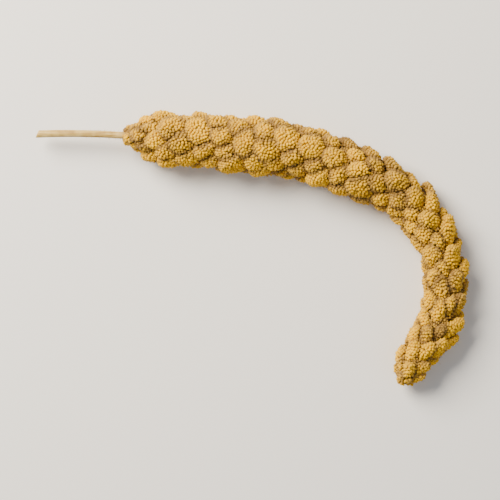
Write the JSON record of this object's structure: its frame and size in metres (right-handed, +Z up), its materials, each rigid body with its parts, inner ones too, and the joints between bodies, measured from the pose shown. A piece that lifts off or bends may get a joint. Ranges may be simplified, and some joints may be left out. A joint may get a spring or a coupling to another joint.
{
  "type": "millet seed head",
  "caption": "Dried foxtail millet head lying on its side: dense golden seed lobes along a hooked, tapering head, on a short cut straw stalk.",
  "frame": {"origin": "under the middle of the whole head and stalk, on the plane that the head lies on", "axes": "+X from the cut end of the stalk along the straight part of the head, +Z up, and the tip hooks round towards -Y"},
  "size_m": [0.2084, 0.1318, 0.0264],
  "materials": {
    "seed_husk": "dry satin husk",
    "straw": "dry fibrous straw"
  },
  "bodies": {
    "root": {"seed_head": "seed_husk", "stalk": "straw"}
  },
  "joints": []
}
